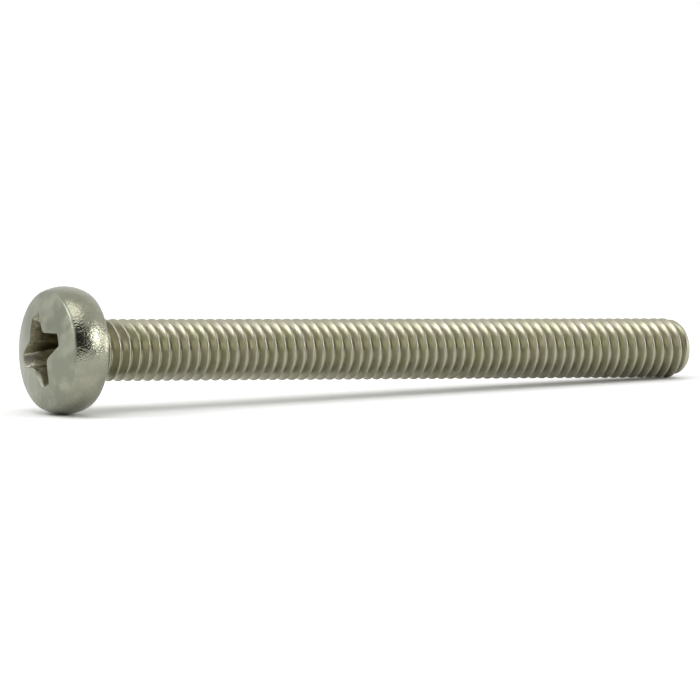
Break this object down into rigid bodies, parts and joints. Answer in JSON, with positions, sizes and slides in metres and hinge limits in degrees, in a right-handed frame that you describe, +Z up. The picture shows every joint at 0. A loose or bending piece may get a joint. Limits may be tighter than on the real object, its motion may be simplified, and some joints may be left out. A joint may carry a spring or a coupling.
{
  "type": "machine screw",
  "caption": "Stainless steel cross-recess pan head machine screw with a right-hand metric thread over its whole shank, lying at rest.",
  "frame": {"origin": "on the surface that the screw lies on, under the middle of its bounding box", "axes": "+X along the screw towards its tip, +Z up; the screw's own axis dips 2.57 degrees below +X towards the tip, because the screw rests on its head and on the last crest of its thread"},
  "size_m": [0.0478, 0.008, 0.008],
  "materials": {
    "stainless_steel": "satin, as cold formed and rolled, with a coarser, unmachined side on the head"
  },
  "bodies": {
    "root": {"screw": "stainless_steel"}
  },
  "joints": []
}
